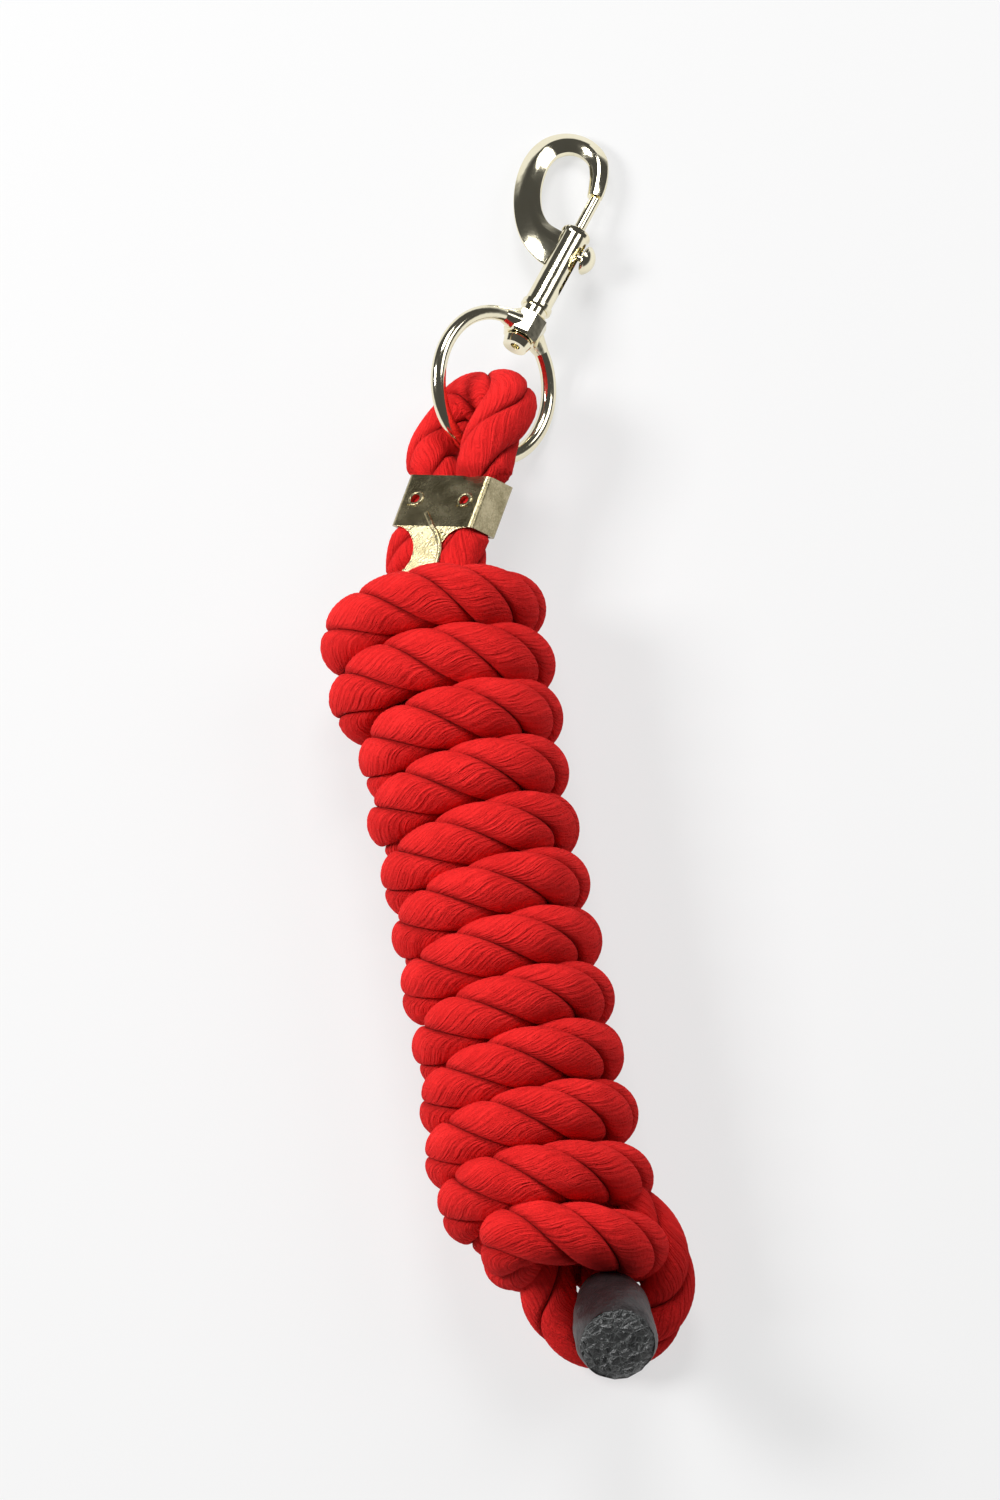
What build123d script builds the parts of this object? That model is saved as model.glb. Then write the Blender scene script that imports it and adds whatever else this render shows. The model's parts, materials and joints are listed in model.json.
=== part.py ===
from build123d import *
import os
from math import cos, pi, radians, sin, sqrt, tan

# Lead rope for a horse, wound up as it is sold and stored: a soft three-strand
# cotton rope in a hank, an eye crimped round a swivel ring, a bolt snap, and a
# rubber cap on the free end.  Millimetres, +Z up, hank along Y, snap at +Y.

# ---------------------------------------------------------------- rope sizes
rope_d = 19.5            # loose laid rope
pressed_d = 17.0         # the same rope where it is gripped or drawn tight
soft_gap = 0.4           # room left round soft rope
turns = 11               # full turns of the winding
turn_pitch = 19.0        # from one turn to the next
wind_half_w = 24.0       # half width of the winding, at the rope's centre line
wind_half_h = 20.0       # half height of the winding, at the rope's centre line
wind_valley = 4.2        # depth of the groove between two turns
floor_flat = 1.5         # how much the winding flattens where it lies

# ---------------------------------------------------------------- clamp sizes
clamp_w = 30.5
clamp_t = 14.5
clamp_sheet = 1.2
clamp_corner_r = 1.8
clamp_rake = 4.8         # its ends stand this much further up behind than in front
clamp_top_h = 19.0       # upper box
clamp_notch_r = 8.5      # round notch between the boxes, also their spacing / 2
clamp_waist_w = 9.6      # tongue that joins the boxes in front
clamp_low_h = 10.0       # lower box, under the first turn
clamp_seam = 1.0         # gap where the sheet's two edges meet behind
clamp_leg_r = 3.6        # corner radius of the pressed rope inside
prong_x = 9.2
prong_y = 9.1            # below the upper edge
prong_r = 1.5
prong_rim = 0.7
prong_point = 2.6        # how far the teardrop's point lies from its centre
prong_bite = 3.0
bead_r = 0.9             # pressed bead down the front
bead_start = (-2.9, -14.7)
bead_bend = (4.2, -23.5)
bead_end = (3.8, -35.0)

# ---------------------------------------------------------------- ring and swivel
ring_wire_r = 2.4
ring_r = 23.3            # centre line
boss_flats = 11.6        # across the flats of its eight sides
boss_h = 8.8
boss_edge = 0.8
flare_r = 3.7            # wire's radius where it runs into the boss
flare_from = 11.0        # degrees round the ring from the boss
flare_to = 25.0
rivet_r = 2.2
rivet_head_r = 4.7
rivet_head_h = 3.2
rivet_hollow_r = 1.6
rivet_foot_h = 4.6       # seated in the barrel, under the spring
running = 0.08           # radial play of turning and sliding fits
face_play = 0.25         # end play of the swivel
swing_limit = 50.0       # degrees each way

# ---------------------------------------------------------------- snap sizes
barrel_r = 4.3
barrel_from = 7.2        # above the middle of the boss
barrel_to = 39.0
collar_r = 5.1           # thickened foot of the barrel
collar_h = 2.4
lip_r = 4.8              # rounded lip at its mouth
lip_h = 1.7
edge_r = 0.5
bore_r = 2.75
nose_wall = 3.2          # end wall that guides the bolt's rod
slot_w = 2.7
slot_from = 15.5
slot_to = 36.0
rod_r = 1.85
piston_from = 27.2
piston_to = 34.4
bolt_travel = 10.5
bolt_seat = 53.2         # where the rod's end meets the hook
stem_r = 1.2
knob_y = 30.6            # along the barrel
knob_r = 4.7
knob_h = 3.6
knob_gap = 2.1           # between barrel and knob
spring_wire_r = 0.3
spring_coils = 6
hook_points = (
    (0.0, 30.0), (-12.5, 35.5), (-21.8, 49.0), (-21.5, 62.5), (-12.0, 68.9), (-3.5, 64.0), (-0.4, 53.4),
)
hook_start = (-0.93, 0.37)      # its direction at each end
hook_finish = (0.16, -1.0)
hook_widths = (                 # share of its length, width in its plane
    (0.0, 14.0), (0.08, 13.2), (0.18, 10.0), (0.29, 8.7), (0.57, 8.0), (0.73, 6.6), (0.86, 5.6), (1.0, 4.9),
)
root_t = 6.6
side_t = 7.0
nose_t = 4.7
hook_stations = 12
section_power = 1.55     # 2 is an ellipse, 1 a lozenge

# ---------------------------------------------------------------- end cap sizes
cap_l = 37.0
cap_bore = 31.0          # depth taken by the rope
cap_mouth_r = 10.7
cap_belly_r = 12.9
cap_face_r = 10.2        # where its side rolls into the domed face

# ---------------------------------------------------------------- how it lies
clamp_heading = 27.0     # degrees clockwise from +Y, seen from above
clamp_slope = 8.0        # down towards the snap
clamp_roll = 27.0        # right-hand edge up
clamp_bend = 16.0        # lower box tips into the winding
clamp_join = (-8.4, 10.3, 30.8)     # where its axis meets the first turn
clamp_reach = 42.0
snap_heading = 34.3
snap_slope = 9.4
ring_roll = 44.0
snap_roll = 4.0
eye_at = (-3.3, 15.3, 2.5)      # ring wire across, above and in front of the clamp
eye_split = 5.0          # how far past the wire its legs stay apart
tail_x = 13.5
tail_rise = 50.0         # degrees
tail_mouth = (-19.9, 32.4)      # Y from the last turn, and height


def lying(heading, slope, roll, origin):
    """Frame with X across, Y along the piece and Z out of its front."""
    h, s, r = radians(heading), radians(slope), radians(roll)
    along = Vector(sin(h) * cos(s), cos(h) * cos(s), -sin(s))
    level = Vector(cos(h), -sin(h), 0)
    across = level * cos(r) + level.cross(along) * sin(r)
    return Plane(origin=origin, x_dir=across, z_dir=across.cross(along))


def rope_tube(name, points, radii, d):
    """Plain tube of straight runs and tangent arcs through hand-set points."""
    path = FilletPolyline(*points, radius=radii)
    tube = sweep(Plane(origin=path @ 0, z_dir=path % 0) * Circle(d / 2), path)
    share = tube.volume / (pi * d * d / 4 * path.length)
    print(f"{name}: {path.length:.1f} mm long, radii {[round(r, 1) for r in radii]}, volume {share:.4f}")
    return tube


def even_radii(points, largest=None):
    """Arc at each corner: 0.45 of the shorter run over tan(half the turn)."""
    radii = []
    for a, b, c in zip(points, points[1:], points[2:]):
        run_in, run_out = b - a, c - b
        half = radians(run_in.get_angle(run_out) / 2)
        r = 0.45 * min(run_in.length, run_out.length) / tan(half)
        radii.append(min(r, largest) if largest else r)
    return radii


def rounded_bar(w, t, r, length):
    """Bar with rounded long edges down the Y axis, its ends raked back from 0 and -length in front."""
    bar = Pos(0, clamp_rake, 0) * extrude(Plane.XZ * RectangleRounded(w, t, r), length + clamp_rake)
    for y, side in ((0, Keep.BOTTOM), (-length, Keep.TOP)):
        end = Plane(origin=(0, y, clamp_t / 2), z_dir=(0, clamp_t, clamp_rake))
        bar = split(bar, end, keep=side)
    return bar


def dome(r, low, high):
    """Outline of a shallow round end: from radius r at one height to the axis at another."""
    rise = high - low
    ball_r = (r * r + rise * rise) / (2 * rise)
    halfway = (r / 2, high - ball_r + sqrt(ball_r * ball_r - r * r / 4))
    return ThreePointArc((r, low), halfway, (0, high))


# ---------------------------------------------------------------- frames
hank_z = wind_half_h + rope_d / 2 - floor_flat
hank_end = -turns * turn_pitch
join = Vector(*clamp_join)
clamp_axis = lying(clamp_heading, clamp_slope, clamp_roll, join)
clamp = lying(clamp_heading, clamp_slope, clamp_roll, join + clamp_axis.y_dir * clamp_reach)
eye = lying(snap_heading, snap_slope, ring_roll, clamp.from_local_coords(Vector(*eye_at)))
boss_at = eye.origin + eye.y_dir * (2 * ring_r)
ring = Plane(origin=boss_at, x_dir=eye.z_dir * -1, z_dir=eye.x_dir)
snap = lying(snap_heading, snap_slope, snap_roll, boss_at)
apex = ring_wire_r + soft_gap + pressed_d / 2
swing_at = eye.origin + eye.y_dir * apex
tail_dir = Vector(0, -cos(radians(tail_rise)), sin(radians(tail_rise)))
mouth = Vector(tail_x, hank_end + tail_mouth[0], tail_mouth[1])
cap = Plane(origin=mouth, x_dir=(1, 0, 0), z_dir=tail_dir)


# ---------------------------------------------------------------- rope
def rope_hank():
    """The winding: a stack of flattened turns, wider than high, flat underneath."""
    end_r = rope_d / 2
    out_r = wind_half_h + end_r
    lobe_r = ((turn_pitch / 2) ** 2 + wind_valley**2) / (2 * wind_valley)
    core = Pos(wind_half_h / 2, hank_end / 2) * Rectangle(wind_half_h, rope_d - hank_end)
    core += Pos((out_r - wind_valley) / 2, hank_end / 2) * Rectangle(out_r - wind_valley, -hank_end)
    for turn in range(turns + 1):
        if turn in (0, turns):
            core += Pos(wind_half_h, -turn * turn_pitch) * Circle(end_r)
        else:
            core += Pos(out_r - lobe_r, -turn * turn_pitch) * Circle(lobe_r)
    upper = Rot(0, -90, 0) * core
    lower = Rot(0, 90, 0) * core
    spread = wind_half_w - wind_half_h
    right = revolve(upper, Axis.Y, 180)
    left = revolve(lower, Axis.Y, 180)
    middle = extrude(upper + lower, spread, both=True)
    hank = Pos(0, 0, hank_z) * (middle + Pos(spread, 0, 0) * right + Pos(-spread, 0, 0) * left)
    return split(hank, Plane.XY, keep=Keep.TOP)


def rope_bight():
    """Loop of the core that sticks out of the far end of the winding."""
    leg = pressed_d + soft_gap + 0.2
    points = [
        Vector(tail_x - 23.0, hank_end + 12.0, 28.0),
        Vector(tail_x - leg - 0.6, hank_end - 4.0, 22.5),
        Vector(tail_x - leg, hank_end - 15.5, 13.5),
        Vector(tail_x - 8.0, hank_end - 25.2, 9.0),
        Vector(tail_x + 8.5, hank_end - 25.5, 9.2),
        Vector(tail_x + leg, hank_end - 15.5, 12.5),
        Vector(tail_x + leg + 0.8, hank_end - 4.0, 21.0),
        Vector(tail_x + 11.0, hank_end + 12.0, 27.0),
    ]
    return rope_tube("rope_bight", points, even_radii(points), pressed_d)


def rope_tail():
    """The free end: out of the last turn, up through the bight, into the cap."""
    points = [
        Vector(tail_x - 15.0, hank_end + 22.0, 10.2),
        Vector(tail_x - 3.0, hank_end + 11.0, 9.4),
        Vector(tail_x + 0.6, hank_end + 1.0, 11.0),
        mouth - tail_dir * 11.5,
        mouth + tail_dir * (cap_bore - 0.5),
    ]
    return rope_tube("rope_tail", points, even_radii(points), pressed_d)


def rope_eye():
    """Tight loop of rope from the clamp round the ring's wire and back, cut flush with the clamp."""
    leg = apex + 0.5
    start = pressed_d / 2 + soft_gap / 2
    points = [
        clamp.from_local_coords(Vector(-start + 0.3, -3.0, 0)),
        eye.from_local_coords(Vector(-leg - 1.0, -eye_split, 0)),
        eye.from_local_coords(Vector(-leg, apex, 0)),
        eye.from_local_coords(Vector(leg, apex, 0)),
        eye.from_local_coords(Vector(leg + 1.0, -eye_split, 0)),
        clamp.from_local_coords(Vector(start - 0.3, -3.0, 0)),
    ]
    radii = even_radii(points, largest=11.0)
    radii[1] = radii[2] = apex - 0.1
    loop = rope_tube("rope_eye", points, radii, pressed_d)
    slant = clamp.from_local_coords(Vector(0, clamp_t, clamp_rake)) - clamp.origin
    edge = clamp.from_local_coords(Vector(0, 0, clamp_t / 2))
    return split(loop, Plane(origin=edge, z_dir=slant), keep=Keep.TOP)


def clamp_fold():
    """Where the lower half of the clamp turns in from the upper one: at the sheet in front."""
    front = clamp_t / 2 - clamp_sheet / 2
    return Pos(0, -clamp_top_h, front) * Rot(clamp_bend, 0, 0) * Pos(0, 0, -front)


def rope_throat():
    """The two legs, pressed flat side by side in the clamp, down into the winding."""
    leg_w = clamp_w / 2 - clamp_sheet
    leg_t = clamp_t - 2 * clamp_sheet
    below = 2 * clamp_notch_r + clamp_low_h
    legs = Part()
    for side in (-1, 1):
        top = rounded_bar(leg_w - 0.05, leg_t, clamp_leg_r, clamp_top_h)
        low = rounded_bar(leg_w - 0.05, leg_t, clamp_leg_r, below)
        legs += clamp * Pos(side * leg_w / 2, 0, 0) * (top + clamp_fold() * low)
    return legs


# ---------------------------------------------------------------- clamp
def clamp_box(height):
    """Sheet folded round the two legs, with a seam behind."""
    outer = rounded_bar(clamp_w, clamp_t, clamp_corner_r, height)
    inner = rounded_bar(
        clamp_w - 2 * clamp_sheet, clamp_t - 2 * clamp_sheet, clamp_corner_r - clamp_sheet, height
    )
    seam = Pos(0, -height / 2, -clamp_t / 2) * Box(clamp_seam, 3 * height, 4 * clamp_sheet)
    return outer - inner - seam


def teardrop(r, point):
    """Round hole drawn out to a point at the lower left."""
    tip = (-point * cos(pi / 4), -point * sin(pi / 4))
    wing = r * 0.96
    upper, lower = (-wing * 0.75, wing * 0.66), (wing * 0.66, -wing * 0.75)
    cut = Polyline(upper, tip, lower, upper)
    return Circle(r) + make_face(cut)


def rope_clamp():
    """Pressed sheet clamp: two folded boxes joined by a waisted tongue."""
    front = clamp_t / 2 - clamp_sheet / 2
    box = clamp_box(clamp_top_h)
    low_plate = Pos(0, -clamp_notch_r, front) * Box(
        clamp_w - 2 * clamp_corner_r, 2 * clamp_notch_r + 0.2, clamp_sheet
    )
    low_box = Pos(0, -2 * clamp_notch_r, 0) * clamp_box(clamp_low_h)
    fold = clamp_fold()
    crease = Pos(0, -clamp_top_h, front) * Rot(0, 90, 0) * Cylinder(clamp_sheet / 2, clamp_waist_w + 4)
    body = box + fold * (low_plate + low_box) + crease
    bite = clamp_waist_w / 2 + clamp_notch_r
    notches = []
    for side in (-1, 1):
        hole = Cylinder(clamp_notch_r, 3 * clamp_t)
        open_side = Pos(side * clamp_w / 2, 0, 0) * Box(clamp_w, 2 * clamp_notch_r, 3 * clamp_t)
        notches.append(fold * Pos(side * bite, -clamp_notch_r, 0) * (hole + open_side))
    body -= notches
    for side in (-1, 1):
        at = Pos(side * prong_x, -prong_y, clamp_t / 2)
        rim = extrude(teardrop(prong_r + prong_rim, prong_point + prong_rim), 0.35)
        body += at * rim
        hole = extrude(teardrop(prong_r, prong_point), 2 * clamp_sheet, both=True)
        body -= at * hole
        prong = Pos(prong_r * 0.75, 0, -clamp_sheet - prong_bite / 2) * Rot(0, 8, 0) * Box(
            0.8, prong_r * 1.3, prong_bite + 1.2
        )
        body += at * prong
    crossing = (bead_start[0] + 0.5 * (bead_bend[0] - bead_start[0]), -clamp_top_h)
    upper = Line((*bead_start, clamp_t / 2), (*crossing, clamp_t / 2))
    lower = Spline(
        (crossing[0], 0, clamp_t / 2),
        (bead_bend[0], bead_bend[1] + clamp_top_h, clamp_t / 2),
        (bead_end[0], bead_end[1] + clamp_top_h, clamp_t / 2),
    )
    for line, turned in ((upper, Pos(0, 0, 0)), (lower, fold)):
        body += turned * sweep(Plane(origin=line @ 0, z_dir=line % 0) * Circle(bead_r), line)
        body += turned * Pos(*(line @ 0)) * Sphere(bead_r) + turned * Pos(*(line @ 1)) * Sphere(bead_r)
    return clamp * body


# ---------------------------------------------------------------- ring and swivel
def swivel_ring():
    """Round wire ring with an eight-sided boss bored for the swivel rivet."""
    centre = Pos(0, -ring_r, 0)
    wire = centre * Torus(ring_r, ring_wire_r)
    boss = extrude(
        Plane.XZ * RegularPolygon(boss_flats / 2, 8, major_radius=False, rotation=22.5),
        boss_h / 2,
        both=True,
    )
    boss = chamfer(boss.faces().filter_by(Axis.Y).edges(), boss_edge)
    body = wire + boss
    for side in (-1, 1):
        ends = []
        for angle, r in ((flare_from, flare_r), (flare_to, ring_wire_r + 0.02)):
            a = radians(angle) * side
            at = Vector(ring_r * sin(a), ring_r * cos(a) - ring_r, 0)
            ends.append(Plane(origin=at, z_dir=(cos(a), -sin(a), 0)) * Circle(r))
        body += loft(ends)
    bore = Rot(90, 0, 0) * Cylinder(rivet_r + running, 2 * boss_h)
    return ring * (body - bore)


def swivel_rivet():
    """Hollow-headed rivet: turns in the boss and is pressed into the barrel."""
    low = -boss_h / 2 - face_play
    high = boss_h / 2 + face_play
    foot = barrel_from
    top = barrel_from + rivet_foot_h
    with BuildPart() as rivet:
        with BuildSketch(Plane.XY):
            with BuildLine():
                Polyline(
                    (0, top), (bore_r - 0.4, top), (bore_r, top - 0.4), (bore_r, foot),
                    (collar_r - 0.8, foot), (collar_r - 0.8, high), (rivet_r, high), (rivet_r, low),
                    (rivet_head_r - 0.5, low), (rivet_head_r, low - 0.9),
                    (rivet_head_r - 0.7, low - rivet_head_h),
                    (rivet_hollow_r, low - rivet_head_h + 0.5), (rivet_hollow_r - 0.3, low - 0.4),
                    (0, low), (0, top),
                )
            make_face()
        revolve(axis=Axis.Y)
    return snap * rivet.part


# ---------------------------------------------------------------- snap
def hook_width(share):
    """In-plane width along the hook, from the root at 0 to the nose at 1."""
    for (a, wa), (b, wb) in zip(hook_widths, hook_widths[1:]):
        if share <= b:
            return wa + (wb - wa) * (share - a) / (b - a)
    return hook_widths[-1][1]


def hook_thickness(share):
    """Thickness across the hook's plane."""
    if share < 0.3:
        return root_t + (side_t - root_t) * share / 0.3
    return side_t + (nose_t - side_t) * (share - 0.3) / 0.7


def hook_section(at, tangent, w, t):
    """Rounded lozenge across the hook."""
    plane = Plane(origin=(at.X, at.Y, 0), x_dir=(-tangent.Y, tangent.X, 0), z_dir=(tangent.X, tangent.Y, 0))
    points = []
    for i in range(12):
        a = 2 * pi * i / 12
        c, s = cos(a), sin(a)
        x = w / 2 * abs(c) ** (2 / section_power) * (1 if c > 0 else -1)
        y = t / 2 * abs(s) ** (2 / section_power) * (1 if s > 0 else -1)
        points.append((x, y))
    return plane * make_face(Spline(*points, periodic=True))


def snap_body():
    """Cast hook and bored barrel in one piece, slotted for the thumb knob."""
    line = Spline(*hook_points, tangents=[hook_start, hook_finish])
    sections = []
    for i in range(hook_stations + 1):
        share = i / hook_stations
        sections.append(hook_section(line @ share, line % share, hook_width(share), hook_thickness(share)))
    hook = loft(sections)
    lip_from = barrel_to - lip_h
    with BuildPart() as barrel:
        with BuildSketch(Plane.XY):
            with BuildLine():
                Polyline(
                    (0, barrel_from), (collar_r - edge_r, barrel_from), (collar_r, barrel_from + edge_r),
                    (collar_r, barrel_from + collar_h - edge_r), (barrel_r, barrel_from + collar_h),
                    (barrel_r, lip_from - edge_r),
                )
                ThreePointArc(
                    (barrel_r, lip_from - edge_r), (lip_r, lip_from + lip_h / 3), (lip_r - edge_r, barrel_to)
                )
                Polyline((lip_r - edge_r, barrel_to), (0, barrel_to), (0, barrel_from))
            make_face()
        revolve(axis=Axis.Y)
    body = barrel.part + hook
    bore_to = barrel_to - nose_wall
    bore = Pos(0, bore_to / 2, 0) * Rot(90, 0, 0) * Cylinder(bore_r, bore_to)
    guide_l = bolt_seat - bore_to
    guide = Pos(0, bore_to + guide_l / 2, 0) * Rot(90, 0, 0) * Cylinder(rod_r + running, guide_l)
    run = (slot_to - slot_from - slot_w) / 2
    rounded = Rot(0, 90, 0) * Cylinder(slot_w / 2, 2 * barrel_r)
    slot = Box(2 * barrel_r, 2 * run, slot_w) + Pos(0, run, 0) * rounded + Pos(0, -run, 0) * rounded
    slot = Pos(barrel_r, (slot_from + slot_to) / 2, 0) * slot
    return snap * (body - bore - guide - slot)


def snap_bolt():
    """Rod that closes the hook, with the piston that slides in the barrel."""
    with BuildPart() as bolt:
        with BuildSketch(Plane.XY):
            with BuildLine():
                r = bore_r - running
                Polyline(
                    (0, piston_from), (r - 0.4, piston_from), (r, piston_from + 0.4), (r, piston_to - 0.4),
                    (r - 0.4, piston_to), (rod_r, piston_to), (rod_r, bolt_seat - 0.6),
                    (rod_r - 0.5, bolt_seat - 0.05), (0, bolt_seat - 0.05), (0, piston_from),
                )
            make_face()
        revolve(axis=Axis.Y)
    hole = Pos(bore_r, knob_y, 0) * Rot(0, 90, 0) * Cylinder(stem_r, 2 * bore_r)
    return snap * (bolt.part - hole)


def thumb_knob():
    """Domed button on a stem that is pressed into the piston."""
    base = barrel_r + knob_gap
    with BuildPart() as knob:
        with BuildSketch(Plane.XY):
            with BuildLine():
                Polyline((0, 0), (stem_r, 0), (stem_r, base - 0.9), (2.3, base), (knob_r - 0.5, base))
                ThreePointArc((knob_r - 0.5, base), (knob_r, base + 0.6), (knob_r - 0.3, base + 1.3))
                dome(knob_r - 0.3, base + 1.3, base + knob_h)
                Line((0, base + knob_h), (0, 0))
            make_face()
        revolve(axis=Axis.Y)
    return snap * Pos(0, knob_y, 0) * Rot(0, 0, -90) * knob.part


def bolt_spring():
    """Compression spring between the rivet's foot and the piston."""
    low = barrel_from + rivet_foot_h + spring_wire_r + 0.05
    high = piston_from - spring_wire_r - 0.05
    coil_r = bore_r - spring_wire_r - 0.2
    path = Helix((high - low) / spring_coils, high - low, coil_r)
    wire = sweep(Plane(origin=path @ 0, z_dir=path % 0) * Circle(spring_wire_r), path)
    return snap * Pos(0, low, 0) * Rot(-90, 0, 0) * wire


# ---------------------------------------------------------------- end cap
def end_cap():
    """Rubber sleeve shrunk on the rope's end, fuller towards its domed face."""
    with BuildPart() as sleeve:
        with BuildSketch(Plane.XZ):
            with BuildLine():
                Line((pressed_d / 2, 0), (cap_mouth_r, 0))
                ThreePointArc((cap_mouth_r, 0), (cap_belly_r - 0.5, cap_l * 0.34), (cap_belly_r, cap_l * 0.68))
                ThreePointArc(
                    (cap_belly_r, cap_l * 0.68), (cap_belly_r - 0.9, cap_l * 0.86), (cap_face_r, cap_l - 1.8)
                )
                dome(cap_face_r, cap_l - 1.8, cap_l)
                Polyline((0, cap_l), (0, cap_bore), (pressed_d / 2, cap_bore), (pressed_d / 2, 0))
            make_face()
        revolve(axis=Axis.Z)
    return cap * sleeve.part


nodes = {
    "rope_hank": rope_hank(),
    "rope_bight": rope_bight(),
    "rope_tail": rope_tail(),
    "rope_eye": rope_eye(),
    "rope_throat": rope_throat(),
    "rope_clamp": rope_clamp(),
    "end_cap": end_cap(),
    "swivel_ring": swivel_ring(),
    "swivel_rivet": swivel_rivet(),
    "snap_body": snap_body(),
    "snap_bolt": snap_bolt(),
    "thumb_knob": thumb_knob(),
    "bolt_spring": bolt_spring(),
}

# The origin is under the middle of the whole thing, on the surface it lies on.
whole = Compound(list(nodes.values())).bounding_box()
shift = Pos(-whole.center().X, -whole.center().Y, 0)
os.makedirs("parts", exist_ok=True)
for name, shape in nodes.items():
    export_step(shift * shape, f"parts/{name}.step")
for name, point in (("swing", swing_at), ("boss", boss_at), ("join", join), ("mouth", mouth)):
    print(name, point + shift.position)
print("directions", eye.x_dir, snap.y_dir, snap.x_dir)
print("ranges", swing_limit, bolt_travel)
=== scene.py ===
import json
from math import atan2, cos, exp, pi, radians, sin
import bpy
import numpy as np
from mathutils import Matrix, Vector


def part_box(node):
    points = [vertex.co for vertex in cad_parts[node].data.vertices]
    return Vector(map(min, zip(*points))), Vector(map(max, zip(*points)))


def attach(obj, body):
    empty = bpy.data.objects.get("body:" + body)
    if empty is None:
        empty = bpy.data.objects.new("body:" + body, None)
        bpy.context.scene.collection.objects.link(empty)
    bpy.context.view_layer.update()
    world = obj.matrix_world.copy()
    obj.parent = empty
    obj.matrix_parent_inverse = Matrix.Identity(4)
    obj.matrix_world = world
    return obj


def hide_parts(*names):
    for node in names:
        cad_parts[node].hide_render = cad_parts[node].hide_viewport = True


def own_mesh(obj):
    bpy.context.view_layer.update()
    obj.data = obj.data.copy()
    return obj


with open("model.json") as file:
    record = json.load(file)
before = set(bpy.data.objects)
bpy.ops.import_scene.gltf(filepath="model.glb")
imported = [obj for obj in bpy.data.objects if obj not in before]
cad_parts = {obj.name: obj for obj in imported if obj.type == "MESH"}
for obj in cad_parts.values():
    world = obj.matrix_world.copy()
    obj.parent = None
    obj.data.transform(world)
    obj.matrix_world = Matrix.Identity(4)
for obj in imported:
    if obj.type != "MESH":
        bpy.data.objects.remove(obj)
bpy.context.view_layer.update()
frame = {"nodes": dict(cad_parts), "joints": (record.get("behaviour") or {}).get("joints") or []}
joints = {j["name"]: j for j in frame["joints"]}
MM = 0.001

# ---------------------------------------------------------------- rope: where it lies
# One length of soft three-strand cotton rope, wound up in a hank that lies along Y. Its eye, its
# clamp and the clamp's lower half each have a frame in metres: X across, Y along, Z out in front.
rope_d = 19.5 * MM
turns = 11
hank_lo, hank_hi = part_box("rope_hank")
mid_x = (hank_lo.x + hank_hi.x) / 2
first_y = hank_hi.y - rope_d / 2
last_y = hank_lo.y + rope_d / 2
pitch = (first_y - last_y) / turns
hank_z = 28.25 * MM


def lying(heading, slope, roll, origin):
    """Frame that points heading degrees clockwise from +Y, slopes down and is rolled."""
    h, s, r = radians(heading), radians(slope), radians(roll)
    along = Vector((sin(h) * cos(s), cos(h) * cos(s), -sin(s)))
    level = Vector((cos(h), -sin(h), 0))
    across = level * cos(r) + level.cross(along) * sin(r)
    return Matrix.Translation(origin) @ Matrix((across, along, across.cross(along))).transposed().to_4x4()


def shifted(matrix, x, y, z):
    """The same frame moved by millimetres along its own axes."""
    return matrix @ Matrix.Translation((x * MM, y * MM, z * MM))


def at(matrix, x, y, z=0.0):
    """Point of a piece's own frame, given in millimetres."""
    return matrix @ Vector((x * MM, y * MM, z * MM))


def in_hank(x, y, z):
    """Point from the middle of the first turn, in millimetres, z from the floor."""
    return Vector((mid_x + x * MM, first_y + y * MM, z * MM))


def past_hank(x, y, z):
    """Point from the middle of the last turn, in millimetres, z from the floor."""
    return Vector((mid_x + x * MM, last_y + y * MM, z * MM))


snap_dir = Vector(joints["swivel"]["axis"])
boss_at = Vector(joints["swivel"]["pos_m"])
ring_r = 23.3 * MM
snap_heading, snap_slope, ring_roll = 34.3, 9.4, 44.0
eye = lying(snap_heading, snap_slope, ring_roll, boss_at - snap_dir * 2 * ring_r)

clamp_heading, clamp_slope, clamp_roll = 27.0, 8.0, 27.0
clamp_w, clamp_t, clamp_sheet, clamp_top_h, clamp_rake = 30.5, 14.5, 1.2, 19.0, 4.8
notch_r, waist_w, fold_angle = 8.5, 9.6, 16
clamp_turn = lying(clamp_heading, clamp_slope, clamp_roll, (0, 0, 0)).to_3x3()
clamp_to_eye = Vector((-3.3, 15.3, 2.5)) * MM
clamp = lying(clamp_heading, clamp_slope, clamp_roll, eye.translation - clamp_turn @ clamp_to_eye)
sheet_z = (clamp_t - clamp_sheet) / 2
bend = Matrix.Rotation(radians(fold_angle), 4, "X")
fold = shifted(shifted(clamp, 0, -clamp_top_h, sheet_z) @ bend, 0, 0, -sheet_z)

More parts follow.
